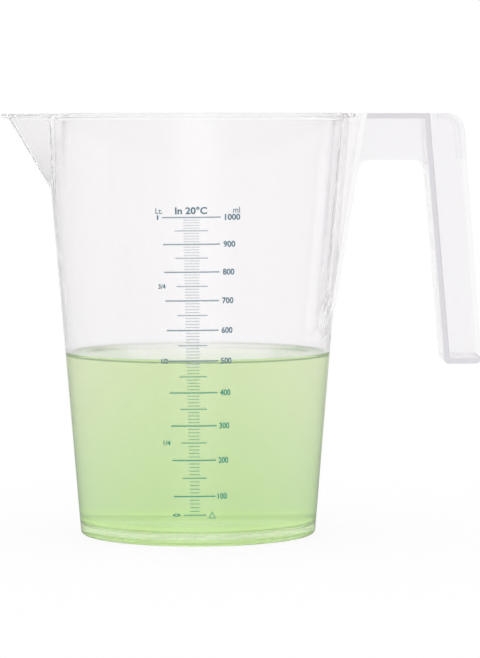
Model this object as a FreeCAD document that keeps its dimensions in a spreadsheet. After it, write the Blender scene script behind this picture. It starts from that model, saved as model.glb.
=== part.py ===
"""One-litre measuring beaker of translucent polypropylene, with a pouring spout and an open channel handle.

Millimetres. The origin is the centre of the face that the beaker stands on. +Z is up, the spout points to -X,
the handle to +X, and the printed scale faces -Y. The real beaker is one moulding with a print on it. The pieces
below are the moulding's natural regions, which meet face to face, and the three groups of printed lines.
"""

import FreeCAD, Part

import math
import os
import re

import Sketcher

# ---------------------------------------------------------------- driving sizes

SIZES = {
    # cup
    "rim_height": (168.0, "foot to the top of the rim"),
    "base_radius": (47.0, "outside of the wall, at the foot"),
    "mouth_radius": (61.0, "outside of the wall, at the rim"),
    "wall_thickness": (1.8, "wall of the cup and of the spout"),
    "foot_height": (2.0, "depth of the recess under the floor"),
    "foot_width": (4.2, "width of the ring that the beaker stands on"),
    "foot_round": (1.2, "rounding of the ring's outer edge"),
    "floor_thickness": (2.2, "floor of the cup"),
    "floor_dome": (1.6, "rise of the floor from its edge to its middle"),
    "floor_corner": (2.5, "rounding inside, between floor and wall"),
    "rim_thickness": (1.6, "flange round the mouth"),
    "rim_overhang": (2.6, "how far the flange stands out from the wall"),
    # spout
    "spout_reach": (16.2, "wall to where the two sides of the spout would meet, at the rim"),
    "spout_lip": (2.2, "how far the flange passes the spout's edge"),
    "spout_depth": (30.0, "rim to the lowest point of the spout"),
    "spout_half_width": (22.2, "half of the spout where it leaves the wall, at the rim"),
    "spout_foot_half_width": (14.0, "half of the spout where it leaves the wall, at its lowest point"),
    "spout_round": (2.5, "rounding of the spout's outer edge"),
    # handle
    "web_thickness": (2.1, "webs of the handle"),
    "cheek_thickness": (1.8, "cheeks of the handle"),
    "root_half_width": (20.5, "half of the handle at the wall"),
    "grip_half_width": (16.8, "half of the handle at its outer edge"),
    "root_stand": (6.2, "wall to the outer face of the root web, at the rim"),
    "root_meeting_height": (92.0, "height where the root web meets the wall"),
    "arm_depth": (18.4, "height of the arm's cheeks"),
    "arm_round": (4.5, "rounding of the arm's cheeks into the root and the grip"),
    "arm_length": (22.5, "root web to the near face of the grip's web, at the rim"),
    "grip_lean": (8.2, "how much further out the grip's foot stands than its top"),
    "grip_depth": (15.4, "near face of the grip's web to the grip's outer edge, at the rim"),
    "grip_foot_depth": (14.8, "near face of the grip's web to the grip's outer edge, at its foot"),
    "grip_foot_height": (69.0, "height of the grip's foot above the table"),
    "grip_top_round": (7.0, "rounding of the grip's top corner"),
    "grip_foot_round": (2.2, "rounding of the grip's lower corners"),
    "bead_width": (2.0, "bead along the grip's top corner, seen from the side"),
    "bead_depth": (4.0, "how far that bead stands in from each cheek"),
    "bead_length": (18.0, "rim to the lower end of that bead"),
    # print
    "ink_thickness": (0.1, "printed ink"),
    "print_shift": (0.47, "print off the middle of the front, at the foot"),
    "print_tilt": (0.53, "lean of the print, in degrees"),
    "first_volume": (50.0, "lowest printed line, in millilitres"),
    "last_volume": (1000.0, "highest printed line, in millilitres"),
    "volume_step": (10.0, "between two printed lines, in millilitres"),
    "major_length_low": (14.9, "length of a 100 ml line, at the foot"),
    "major_length_high": (24.9, "length of a 100 ml line, at the rim"),
    "medium_length_low": (8.3, "length of a 50 ml line, at the foot"),
    "medium_length_high": (14.5, "length of a 50 ml line, at the rim"),
    "minor_length_low": (3.3, "length of a 10 ml line, at the foot"),
    "minor_length_high": (7.3, "length of a 10 ml line, at the rim"),
    "major_weight": (0.5, "height of a 100 ml line"),
    "medium_weight": (0.42, "height of a 50 ml line"),
    "minor_weight": (0.32, "height of a 10 ml line"),
}

doc = FreeCAD.newDocument("Beaker")
sheet = doc.addObject("Spreadsheet::Sheet", "Sizes")
for row, (alias, (value, meaning)) in enumerate(SIZES.items(), start=1):
    sheet.set(f"A{row}", meaning)
    sheet.set(f"B{row}", str(value))
    sheet.setAlias(f"B{row}", alias)
doc.recompute()


def size(alias):
    """A driving size, read from the sheet."""
    return float(sheet.get(alias))


def sized(text):
    """A formula written with the sizes' plain names, as an expression on the sheet."""
    return re.sub(r"[a-z_]{3,}", lambda word: f"Sizes.{word.group()}" if word.group() in SIZES else word.group(), text)


# ---------------------------------------------------------------- shared places, as formulas

WALL_LEAN = "((mouth_radius - base_radius) / rim_height)"
RIM_UNDERSIDE = "(rim_height - rim_thickness)"
FLOOR_EDGE = "(foot_height + floor_thickness)"
WALL_FOOT = "(foot_height + floor_thickness + floor_corner)"
SPOUT_FOOT = "(rim_height - spout_depth)"
ARM_UNDERSIDE = "(rim_height - arm_depth)"
WEB_UNDERSIDE = "(rim_height - web_thickness)"
ABOVE = "(rim_height * 1.1)"
SPOUT_NOSE = "(mouth_radius + spout_reach)"
ROOT_REACH = "(mouth_radius + root_stand)"
GRIP_REACH = f"({ROOT_REACH} + arm_length)"
GRIP_FOOT_REACH = f"({GRIP_REACH} + grip_lean)"
EDGE_REACH = f"({GRIP_REACH} + grip_depth)"
EDGE_FOOT_REACH = f"({GRIP_FOOT_REACH} + grip_foot_depth)"
OUTSIDE = f"({EDGE_FOOT_REACH} * 1.1)"


def outer(height):
    """Radius of the wall's outside at a height."""
    return f"(base_radius + {WALL_LEAN} * ({height}))"


def inner(height):
    """Radius of the wall's inside at a height."""
    return f"({outer(height)} - wall_thickness)"


def root_face(height):
    """Distance from the axis to the outer face of the root web, which meets the wall lower down."""
    lean = f"(({ROOT_REACH} - {outer('root_meeting_height')}) / (rim_height - root_meeting_height))"
    return f"({ROOT_REACH} - {lean} * (rim_height - ({height})))"


def grip_face(height):
    """Distance from the axis to the near face of the grip's web."""
    return f"({GRIP_REACH} + grip_lean / (rim_height - grip_foot_height) * (rim_height - ({height})))"


def grip_edge(height):
    """Distance from the axis to the outer edge of the grip's cheeks."""
    lean = f"(({EDGE_FOOT_REACH} - {EDGE_REACH}) / (rim_height - grip_foot_height))"
    return f"({EDGE_REACH} + {lean} * (rim_height - ({height})))"


def dome_radius(reach):
    """Radius of the arc that rises from a reach to the top of the floor's dome on the axis."""
    return f"(({reach}^2 + floor_dome^2) / (2 * floor_dome))"


def handle_half_width(reach, inset):
    """Half of the handle's width at a distance from the axis, less an inset from the cheek's outside."""
    taper = f"((root_half_width - grip_half_width) / ({EDGE_FOOT_REACH} - mouth_radius))"
    return f"(root_half_width - {taper} * (({reach}) - mouth_radius) - ({inset}))"


# ---------------------------------------------------------------- sketches and solids

PLANES = {
    "XY_Plane": FreeCAD.Placement(),
    "XZ_Plane": FreeCAD.Placement(FreeCAD.Vector(), FreeCAD.Rotation(FreeCAD.Vector(1, 0, 0), 90)),
}


def add_sketch(name, role, body=None, height=None):
    """An empty sketch on a main plane: its body's own plane, or the document's when it has no body."""
    if body is None:
        sketch = doc.addObject("Sketcher::SketchObject", name)
        sketch.Placement = PLANES[role]
        return sketch
    sketch = body.newObject("Sketcher::SketchObject", name)
    plane = next(feature for feature in body.Origin.OriginFeatures if feature.Role == role)
    sketch.AttachmentSupport = [(plane, "")]
    sketch.MapMode = "FlatFace"
    if height is not None:
        sketch.setExpression("AttachmentOffset.Base.z", sized(height))
    return sketch


def pin(sketch, kind, *place, to):
    """A dimension of a sketch, tied to a formula."""
    value = float(sketch.evalExpression(sized(to)))
    index = sketch.addConstraint(Sketcher.Constraint(kind, *place, value))
    sketch.setExpression(f"Constraints[{index}]", sized(to))


def number(sketch, formula):
    """The present value of a formula."""
    return float(sketch.evalExpression(sized(formula)))


def draw_outline(sketch, corners, rounds=(), bulges=()):
    """A closed outline of straight edges through the corners.

    rounds holds (corner, radius) for rounded corners. bulges holds (edge, radius, side) for edges that are
    arcs: the edge runs from the corner with that number to the next, and bulges to its left where side is 1
    or to its right where side is -1.
    """
    count = len(corners)
    points = [FreeCAD.Vector(number(sketch, x), number(sketch, y), 0) for x, y in corners]
    arcs = {edge: (radius, side) for edge, radius, side in bulges}
    for i in range(count):
        start, end = points[i], points[(i + 1) % count]
        if i in arcs:
            radius = number(sketch, arcs[i][0])
            chord = end - start
            rise = radius - math.sqrt(radius**2 - chord.Length**2 / 4)
            across = FreeCAD.Vector(-chord.y, chord.x, 0).normalize() * (rise * arcs[i][1])
            sketch.addGeometry(Part.Arc(start, (start + end) * 0.5 + across, end))
        else:
            sketch.addGeometry(Part.LineSegment(start, end))

    def end_of(edge, point):
        return 1 if (sketch.getPoint(edge, 1) - point).Length < 1e-6 else 2

    for i in range(count):
        following = (i + 1) % count
        point = points[following]
        sketch.addConstraint(
            Sketcher.Constraint("Coincident", i, end_of(i, point), following, end_of(following, point))
        )
    for i, (x, y) in enumerate(corners):
        vertex = end_of(i, points[i])
        pin(sketch, "DistanceX", -1, 1, i, vertex, to=x)
        pin(sketch, "DistanceY", -1, 1, i, vertex, to=y)
    for edge, (radius, _) in arcs.items():
        pin(sketch, "Radius", edge, to=radius)
    for corner, radius in rounds:
        before = (corner - 1) % count
        sketch.fillet(before, corner, points[before], points[(corner + 1) % count], number(sketch, radius), True, True)
        pin(sketch, "Radius", sketch.GeometryCount - 2, to=radius)
    return sketch


def add_body(name):
    body = doc.addObject("PartDesign::Body", name)
    body.Label = name
    return body


def revolve(body, sketch, kind="PartDesign::Revolution"):
    """The sketch turned once round the cup's axis, added to the body or cut from it."""
    feature = body.newObject(kind, f"{sketch.Name}_turned")
    feature.Profile = sketch
    feature.ReferenceAxis = (sketch, ["V_Axis"])
    feature.Angle = 360
    return feature


def loft(body, low, high, kind="PartDesign::AdditiveLoft"):
    """Flat sections joined by ruled faces, added to the body or cut from it."""
    feature = body.newObject(kind, f"{low.Name}_lofted")
    feature.Profile = low
    feature.Sections = [high]
    feature.Ruled = True
    return feature


def round_edges(body, radius, chosen):
    """The edges of the body's last feature that pass a test, rounded."""
    doc.recompute()
    base = body.Tip
    names = [f"Edge{i}" for i, edge in enumerate(base.Shape.Edges, start=1) if chosen(edge)]
    feature = body.newObject("PartDesign::Fillet", f"{body.Name}_round")
    feature.Base = (base, names)
    feature.setExpression("Radius", sized(radius))
    return feature


def is_circle(edge, radius, height):
    """True for a full circle round the axis with this radius, at this height."""
    box = edge.BoundBox
    flat = box.ZLength < 0.01 and abs(box.ZMin - height) < 0.01
    return flat and abs(edge.Length - 2 * math.pi * radius) < 0.01


def plate(body, name, height, kind, length, corners=None, rounds=(), radius=None):
    """A flat step of a body: a disc round the axis, or an outline, padded up or cut down."""
    sketch = add_sketch(name, "XY_Plane", body, height)
    if corners is None:
        sketch.addGeometry(Part.Circle(FreeCAD.Vector(), FreeCAD.Vector(0, 0, 1), number(sketch, radius)))
        sketch.addConstraint(Sketcher.Constraint("Coincident", 0, 3, -1, 1))
        pin(sketch, "Radius", 0, to=radius)
    else:
        draw_outline(sketch, corners, rounds)
    feature = body.newObject(kind, f"{name}_step")
    feature.Profile = sketch
    feature.setExpression("Length", sized(length))
    return feature


def side_block(name, corners, rounds=()):
    """An outline in the plane y = 0, carried both ways across the whole handle."""
    sketch = draw_outline(add_sketch(f"{name}_outline", "XZ_Plane"), corners, rounds)
    block = doc.addObject("Part::Extrusion", name)
    block.Base = sketch
    block.DirMode = "Normal"
    block.Solid = True
    block.Symmetric = True
    block.setExpression("LengthFwd", sized("root_half_width * 4"))
    return block


def plan_block(name, inset):
    """The tapered plan of the handle, less an inset on each side, carried up past the rim."""
    corners = [("0", f"-{handle_half_width('0', inset)}")]
    corners += [(OUTSIDE, f"-{handle_half_width(OUTSIDE, inset)}")]
    corners += [(OUTSIDE, handle_half_width(OUTSIDE, inset)), ("0", handle_half_width("0", inset))]
    sketch = draw_outline(add_sketch(f"{name}_outline", "XY_Plane"), corners)
    block = doc.addObject("Part::Extrusion", name)
    block.Base = sketch
    block.DirMode = "Normal"
    block.Solid = True
    block.setExpression("LengthFwd", sized(ABOVE))
    return block


def combine(kind, name, base, tool):
    """Part::Cut, Part::Fuse or Part::Common of two objects."""
    result = doc.addObject(kind, name)
    result.Base = base
    result.Tool = tool
    result.Label = name
    return result


# ---------------------------------------------------------------- foot ring: what the beaker stands on

RING_INSIDE = "(base_radius - foot_width)"
foot_ring = add_body("foot_ring")
ring_section = draw_outline(
    add_sketch("foot_ring_section", "XZ_Plane", foot_ring),
    [
        (RING_INSIDE, "0"),
        ("base_radius", "0"),
        (outer("foot_height"), "foot_height"),
        (RING_INSIDE, "foot_height"),
    ],
)
revolve(foot_ring, ring_section)
round_edges(foot_ring, "foot_round", lambda edge: is_circle(edge, size("base_radius"), 0))

# ---------------------------------------------------------------- floor: disc that domes up inside the wall

FLOOR_REACH = f"({inner(FLOOR_EDGE)} - floor_corner)"
cup_floor = add_body("cup_floor")
floor_section = draw_outline(
    add_sketch("cup_floor_section", "XZ_Plane", cup_floor),
    [
        ("0", "foot_height + floor_dome"),
        (RING_INSIDE, "foot_height"),
        (FLOOR_REACH, "foot_height"),
        (FLOOR_REACH, FLOOR_EDGE),
        ("0", f"{FLOOR_EDGE} + floor_dome"),
    ],
    bulges=[(0, dome_radius(RING_INSIDE), 1), (3, dome_radius(FLOOR_REACH), -1)],
)
revolve(cup_floor, floor_section)

# ---------------------------------------------------------------- spout sections, shared by wall, spout and rim

SPOUT_ROOT = "sqrt(mouth_radius^2 - spout_half_width^2)"
SPOUT_FOOT_ROOT = f"sqrt({outer(SPOUT_FOOT)}^2 - spout_foot_half_width^2)"
SPOUT_RUN = f"({SPOUT_NOSE} - {SPOUT_ROOT})"
SPOUT_SIDE = f"sqrt({SPOUT_RUN}^2 + spout_half_width^2)"
SPOUT_BACK = f"({SPOUT_FOOT_ROOT} - 5 * wall_thickness)"


def vee(nose, root, half_width, back=None):
    """Corners of the spout's plan: its edge, its two roots at the wall and, for its inside, a square back."""
    corners = [(f"-{nose}", "0"), (f"-{root}", f"-({half_width})")]
    if back is not None:
        corners += [(f"-{back}", f"-({half_width})"), (f"-{back}", half_width)]
    return corners + [(f"-{root}", half_width)]


OUTSIDE_HIGH = vee(SPOUT_NOSE, SPOUT_ROOT, "spout_half_width")
OUTSIDE_LOW = vee(outer(SPOUT_FOOT), SPOUT_FOOT_ROOT, "spout_foot_half_width")
INSIDE_HIGH = vee(
    f"({SPOUT_NOSE} - wall_thickness * {SPOUT_SIDE} / spout_half_width)",
    SPOUT_ROOT,
    f"(spout_half_width - wall_thickness * {SPOUT_SIDE} / {SPOUT_RUN})",
    SPOUT_BACK,
)
INSIDE_LOW = vee(
    inner(SPOUT_FOOT),
    f"({SPOUT_FOOT_ROOT} - wall_thickness)",
    "(spout_foot_half_width - 2 * wall_thickness)",
    SPOUT_BACK,
)


def cut_spout_inside(body):
    """The passage of the spout, cut from a body."""
    low = draw_outline(add_sketch(f"{body.Name}_passage_low", "XY_Plane", body, SPOUT_FOOT), INSIDE_LOW)
    high = draw_outline(add_sketch(f"{body.Name}_passage_high", "XY_Plane", body, "rim_height"), INSIDE_HIGH)
    return loft(body, low, high, "PartDesign::SubtractiveLoft")


# ---------------------------------------------------------------- wall: tapered shell, open where the spout leaves

cup_wall = add_body("cup_wall")
CORNER_RADIUS = f"(floor_corner * ((1 + {WALL_LEAN})^2 + 1) / 2)"
wall_section = draw_outline(
    add_sketch("cup_wall_section", "XZ_Plane", cup_wall),
    [
        (FLOOR_REACH, "foot_height"),
        (outer("foot_height"), "foot_height"),
        (outer(RIM_UNDERSIDE), RIM_UNDERSIDE),
        (inner(RIM_UNDERSIDE), RIM_UNDERSIDE),
        (inner(WALL_FOOT), WALL_FOOT),
        (FLOOR_REACH, FLOOR_EDGE),
    ],
    bulges=[(4, CORNER_RADIUS, 1)],
)
revolve(cup_wall, wall_section)
cut_spout_inside(cup_wall)

# ---------------------------------------------------------------- spout: vee of two thin sides outside the wall

spout_sides = add_body("spout_sides")
nose_round = [(0, "spout_round")]
low = draw_outline(add_sketch("spout_low", "XY_Plane", spout_sides, SPOUT_FOOT), OUTSIDE_LOW, nose_round)
high = draw_outline(add_sketch("spout_high", "XY_Plane", spout_sides, "rim_height"), OUTSIDE_HIGH, nose_round)
loft(spout_sides, low, high)
cut_spout_inside(spout_sides)
plate(spout_sides, "spout_top", "rim_height", "PartDesign::Pocket", "rim_thickness", radius=OUTSIDE)
cup_solid = doc.addObject("Part::Cone", "cup_solid")
cup_solid.setExpression("Radius1", sized("base_radius"))
cup_solid.setExpression("Radius2", sized("mouth_radius"))
cup_solid.setExpression("Height", sized("rim_height"))
pour_spout = combine("Part::Cut", "pour_spout", spout_sides, cup_solid)

# ---------------------------------------------------------------- rim: flat flange round mouth and spout

rim_flange = add_body("rim_flange")
RIM_RADIUS = "(mouth_radius + rim_overhang)"
LIP = vee(f"({SPOUT_NOSE} + spout_lip)", SPOUT_ROOT, "(spout_half_width + rim_overhang)")
plate(rim_flange, "rim_disc", RIM_UNDERSIDE, "PartDesign::Pad", "rim_thickness", radius=RIM_RADIUS)
plate(rim_flange, "rim_lip", RIM_UNDERSIDE, "PartDesign::Pad", "rim_thickness", LIP, nose_round)
plate(
    rim_flange, "rim_mouth", "rim_height", "PartDesign::Pocket", "rim_thickness", radius=inner("rim_height")
)
plate(rim_flange, "rim_passage", "rim_height", "PartDesign::Pocket", "rim_thickness", INSIDE_HIGH)

# ---------------------------------------------------------------- handle: three hollow regions of one channel

handle_plan = plan_block("handle_plan", "0")
handle_core = plan_block("handle_core", "cheek_thickness")
bead_core = plan_block("bead_core", "cheek_thickness + bead_depth")
rim_solid = doc.addObject("Part::Cylinder", "rim_solid")
rim_solid.setExpression("Radius", sized(RIM_RADIUS))
rim_solid.setExpression("Height", sized("rim_thickness"))
rim_solid.setExpression("Placement.Base.z", sized(RIM_UNDERSIDE))
cup_outside = combine("Part::Fuse", "cup_outside", cup_solid, rim_solid)

# root: a sloping web and two cheeks that run down the wall, with a narrow pocket that is open on top
root_side = side_block(
    "root_side",
    [
        ("0", "foot_height"),
        (root_face("foot_height"), "foot_height"),
        (root_face("rim_height"), "rim_height"),
        ("0", "rim_height"),
    ],
)
root_hollow_side = side_block(
    "root_hollow_side",
    [
        ("0", "0"),
        (f"{root_face('0')} - web_thickness", "0"),
        (f"{root_face(ABOVE)} - web_thickness", ABOVE),
        ("0", ABOVE),
    ],
)
root_block = combine("Part::Common", "root_block", root_side, handle_plan)
root_hollow = combine("Part::Common", "root_hollow", root_hollow_side, handle_core)
root_shell = combine("Part::Cut", "root_shell", root_block, root_hollow)
handle_root = combine("Part::Cut", "handle_root", root_shell, cup_outside)

# arm: the top web with two cheeks, open below
arm_side = side_block(
    "arm_side",
    [
        (root_face("rim_height"), "rim_height"),
        (root_face(f"{ARM_UNDERSIDE} - arm_round"), f"{ARM_UNDERSIDE} - arm_round"),
        (f"{root_face(ARM_UNDERSIDE)} + arm_round * 0.3", f"{ARM_UNDERSIDE} - arm_round * 0.3"),
        (f"{root_face(ARM_UNDERSIDE)} + arm_round", ARM_UNDERSIDE),
        (f"{grip_face(ARM_UNDERSIDE)} - arm_round", ARM_UNDERSIDE),
        (f"{grip_face(ARM_UNDERSIDE)} - arm_round * 0.3", f"{ARM_UNDERSIDE} - arm_round * 0.3"),
        (grip_face(f"{ARM_UNDERSIDE} - arm_round"), f"{ARM_UNDERSIDE} - arm_round"),
        (grip_face("rim_height"), "rim_height"),
    ],
)
arm_hollow_side = side_block(
    "arm_hollow_side",
    [("0", "0"), (OUTSIDE, "0"), (OUTSIDE, WEB_UNDERSIDE), ("0", WEB_UNDERSIDE)],
)
arm_block = combine("Part::Common", "arm_block", arm_side, handle_plan)
arm_hollow = combine("Part::Common", "arm_hollow", arm_hollow_side, handle_core)
handle_arm = combine("Part::Cut", "handle_arm", arm_block, arm_hollow)

# grip: a web on the cup's side, two cheeks and a closed foot, open outward and on top
GRIP_OUTLINE = [
    (grip_face("rim_height"), "rim_height"),
    (GRIP_FOOT_REACH, "grip_foot_height"),
    (EDGE_FOOT_REACH, "grip_foot_height"),
    (EDGE_REACH, "rim_height"),
]
FOOT_TOP = "(grip_foot_height + web_thickness)"
grip_side = side_block(
    "grip_side", GRIP_OUTLINE, rounds=[(1, "grip_foot_round"), (2, "grip_foot_round"), (3, "grip_top_round")]
)
grip_hollow_side = side_block(
    "grip_hollow_side",
    [
        (f"{grip_face(FOOT_TOP)} + web_thickness", FOOT_TOP),
        (OUTSIDE, FOOT_TOP),
        (OUTSIDE, ABOVE),
        (f"{grip_face(ABOVE)} + web_thickness", ABOVE),
    ],
)
grip_block = combine("Part::Common", "grip_block", grip_side, handle_plan)
grip_hollow = combine("Part::Common", "grip_hollow", grip_hollow_side, handle_core)
grip_shell = combine("Part::Cut", "grip_shell", grip_block, grip_hollow)

# bead: each cheek's rim turned inward along the top corner
BEAD_FOOT = "(rim_height - bead_length)"
bead_side = side_block(
    "bead_side",
    [
        (f"{grip_edge(BEAD_FOOT)} - bead_width", BEAD_FOOT),
        (f"{OUTSIDE}", BEAD_FOOT),
        (f"{OUTSIDE}", ABOVE),
        (f"{grip_face('rim_height')} + 2 * web_thickness", ABOVE),
        (f"{grip_face('rim_height')} + 2 * web_thickness", "(rim_height - bead_width)"),
        (f"{grip_edge('rim_height')} - bead_width", "(rim_height - bead_width)"),
    ],
    rounds=[(5, "grip_top_round - bead_width")],
)
bead_block = combine("Part::Common", "bead_block", grip_block, bead_side)
beads = combine("Part::Cut", "beads", bead_block, bead_core)
handle_grip = combine("Part::Fuse", "handle_grip", grip_shell, beads)

# ---------------------------------------------------------------- print: ink strips on the wall


def line_height(volume):
    """Height at which the cup holds a volume in millilitres, above its domed floor.

    A cone that widens by k for each mm holds pi * (R^3 - r^3) / (3 * k) between the radii r and R, and a
    shallow dome of rise d takes half of pi * r^2 * d away.
    """
    lean = (size("mouth_radius") - size("base_radius")) / size("rim_height")
    foot_radius = size("base_radius") - size("wall_thickness")
    low_radius = foot_radius + lean * (size("foot_height") + size("floor_thickness"))
    dome = math.pi * low_radius**2 * size("floor_dome") / 2
    high_radius = (low_radius**3 + 3 * lean * (volume * 1000 + dome) / math.pi) ** (1 / 3)
    return (high_radius - foot_radius) / lean


def ink_skin():
    """A thin skin on the outside of the wall."""
    radii = size("base_radius"), size("mouth_radius")
    outside = Part.makeCone(*(radius + size("ink_thickness") for radius in radii), size("rim_height"))
    return outside.cut(Part.makeCone(*radii, size("rim_height")))


def ink_lines(name, weight, volumes):
    """Strips of ink across the front of the wall, one at each volume, as separate solids."""
    reach = size("mouth_radius") * 2
    bars = []
    for volume in volumes:
        height = line_height(volume)
        share = height / size("rim_height")
        length = size(f"{name}_length_low") * (1 - share) + size(f"{name}_length_high") * share
        corner = FreeCAD.Vector(-length / 2 - size("print_shift"), -reach, height - weight / 2)
        bars.append(Part.makeBox(length, reach, weight, corner))
    lean = FreeCAD.Rotation(FreeCAD.Vector(0, -1, 0), size("print_tilt"))
    turn = FreeCAD.Placement(FreeCAD.Vector(), lean)
    skin = ink_skin()
    strips = []
    for bar in bars:
        bar.Placement = turn
        strips.extend(skin.common(bar).Solids)
    feature = doc.addObject("Part::Feature", f"{name}_lines")
    feature.Label = f"{name}_lines"
    feature.Shape = Part.makeCompound(strips)
    return feature


step = size("volume_step")
count = round((size("last_volume") - size("first_volume")) / step) + 1
volumes = [size("first_volume") + step * i for i in range(count)]
majors = [volume for volume in volumes if volume % 100 == 0]
mediums = [volume for volume in volumes if volume % 100 == 50]
minors = [volume for volume in volumes if volume % 50 != 0]
major_lines = ink_lines("major", size("major_weight"), majors)
medium_lines = ink_lines("medium", size("medium_weight"), mediums)
minor_lines = ink_lines("minor", size("minor_weight"), minors)

# ---------------------------------------------------------------- check and write

PIECES = [
    foot_ring,
    cup_floor,
    cup_wall,
    rim_flange,
    pour_spout,
    handle_root,
    handle_arm,
    handle_grip,
    major_lines,
    medium_lines,
    minor_lines,
]

doc.recompute()
for item in doc.Objects:
    if {"Invalid", "Error"} & set(item.State):
        raise RuntimeError(f"{item.Label} did not build: {item.State}")
os.makedirs("parts", exist_ok=True)
for piece in PIECES:
    shape = piece.Shape
    if shape.isNull() or not shape.isValid() or not shape.Solids:
        raise RuntimeError(f"{piece.Label} has no valid solid")
    shape.exportStep(f"parts/{piece.Label}.step")
    print(f"{piece.Label}: {len(shape.Solids)} solid(s), {shape.Volume:.1f} mm3")
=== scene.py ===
import math

import bmesh
import bpy
import numpy as np
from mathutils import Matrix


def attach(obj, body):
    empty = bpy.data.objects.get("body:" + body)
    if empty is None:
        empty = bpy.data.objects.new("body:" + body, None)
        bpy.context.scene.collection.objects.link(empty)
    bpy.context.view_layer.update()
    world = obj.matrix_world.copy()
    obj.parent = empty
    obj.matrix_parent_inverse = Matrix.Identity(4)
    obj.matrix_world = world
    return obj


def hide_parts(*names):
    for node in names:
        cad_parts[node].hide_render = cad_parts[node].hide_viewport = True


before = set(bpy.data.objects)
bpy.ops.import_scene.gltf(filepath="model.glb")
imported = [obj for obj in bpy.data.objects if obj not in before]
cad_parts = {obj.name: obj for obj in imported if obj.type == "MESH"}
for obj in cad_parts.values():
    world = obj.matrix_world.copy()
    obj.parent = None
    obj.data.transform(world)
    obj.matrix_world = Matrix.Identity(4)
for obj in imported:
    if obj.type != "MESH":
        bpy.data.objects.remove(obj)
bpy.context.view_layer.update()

mm = 0.001

# ---------------------------------------------------------------------------
# The studio: a beaker on a white sweep, seen from the front at the height of its rim.
# The sweep is white paper with a painted shadow only right under the beaker, so what the walls
# bend into view is white. What they mirror gets dimmer to the sides and overhead.
# ---------------------------------------------------------------------------

camera_place = (16.95 * mm, -1284.7 * mm, 161.97 * mm)
camera_drop = math.radians(3.57)
camera_lean = math.radians(-0.08)
camera_lens = 175.6
sweep_half = 4.0
paper_share = 0.12
flank_range = (0.12, 0.45)
flank_level = 0.2
overhead_range = (0.25, 0.75)
overhead_level = 0.45
painted_shadow_range = (30.0 * mm, 42.0 * mm)
painted_shadow_share = 0.2


def placed(name, data):
    """A new object with that data, in the scene."""
    thing = bpy.data.objects.new(name, data)
    bpy.context.scene.collection.objects.link(thing)
    return thing


studio_camera = placed("studio_camera", bpy.data.cameras.new("studio_camera"))
studio_camera.data.lens = camera_lens
studio_camera.data.clip_end = 20
studio_camera.rotation_mode = "XYZ"
studio_camera.matrix_world = (
    Matrix.Translation(camera_place)
    @ Matrix.Rotation(math.radians(90) - camera_drop, 4, "X")
    @ Matrix.Rotation(camera_lean, 4, "Z")
)
bpy.context.scene.camera = studio_camera
bpy.context.scene.view_settings.view_transform = "Standard"

# Light crosses the beaker's walls many times before it leaves them.
bpy.context.scene.cycles.max_bounces = 48
bpy.context.scene.cycles.transmission_bounces = 48
bpy.context.scene.cycles.glossy_bounces = 24


def fresh_tree(owner):
    """The emptied node tree of a material or of the world, with its output node."""
    owner.use_nodes = True
    tree = owner.node_tree
    tree.nodes.clear()
    owner_kind = "World" if isinstance(owner, bpy.types.World) else "Material"
    return tree, tree.nodes.new("ShaderNodeOutput" + owner_kind)


def add_node(tree, kind, values=None, **settings):
    """A node of one kind, with plain settings and with values typed on its sockets."""
    node = tree.nodes.new(kind)
    for name, value in settings.items():
        setattr(node, name, value)
    for socket, value in (values or {}).items():
        node.inputs[socket].default_value = value
    return node


def ramp(tree, value, span, levels=(0.0, 1.0)):
    """A socket that goes from the first level to the second while the value crosses the span."""
    node = add_node(
        tree,
        "ShaderNodeMapRange",
        {"From Min": span[0], "From Max": span[1], "To Min": levels[0], "To Max": levels[1]},
    )
    tree.links.new(value, node.inputs["Value"])
    return node.outputs["Result"]


def height_ramp(tree, place, low, high, levels=(0.0, 1.0)):
    """A ramp over the height above the foot, between two heights in mm."""
    split = add_node(tree, "ShaderNodeSeparateXYZ")
    tree.links.new(place, split.inputs[0])
    return ramp(tree, split.outputs["Z"], (low * mm, high * mm), levels)


def combined(tree, operation, first, second, **settings):
    """A socket worked out from two others, as their product, difference or larger one."""
    node = add_node(tree, "ShaderNodeMath", operation=operation, **settings)
    tree.links.new(first, node.inputs[0])
    tree.links.new(second, node.inputs[1])
    return node.outputs[0]


def blend(tree, share, first, second):
    """A socket with the colour between two others, each given as a colour or as a socket."""
    node = add_node(tree, "ShaderNodeMix", data_type="RGBA")
    tree.links.new(share, node.inputs["Factor"])
    for place, colour in ((6, first), (7, second)):
        if isinstance(colour, tuple):
            node.inputs[place].default_value = colour
        else:
            tree.links.new(colour, node.inputs[place])
    return node.outputs[2]


def level_by_direction(tree, direction):
    """The strength of the light from a direction, as a socket.

    It is 1, but for mirrored rays it falls off to the flanks and overhead. Rays that pass through
    plastic count as mirrored too, so those are taken off again.
    """
    split = add_node(tree, "ShaderNodeSeparateXYZ")
    tree.links.new(direction, split.inputs[0])
    aside = add_node(tree, "ShaderNodeMath", operation="ABSOLUTE")
    tree.links.new(split.outputs["X"], aside.inputs[0])
    flank = ramp(tree, aside.outputs[0], flank_range, (1.0, flank_level))
    overhead = ramp(tree, split.outputs["Z"], overhead_range, (1.0, overhead_level))
    ray = add_node(tree, "ShaderNodeLightPath").outputs
    mirrored = combined(tree, "SUBTRACT", ray["Is Glossy Ray"], ray["Is Transmission Ray"], use_clamp=True)
    level = add_node(tree, "ShaderNodeMix", {"A": 1.0}, data_type="FLOAT")
    tree.links.new(mirrored, level.inputs["Factor"])
    tree.links.new(combined(tree, "MULTIPLY", flank, overhead), level.inputs["B"])
    return level.outputs["Result"]


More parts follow.
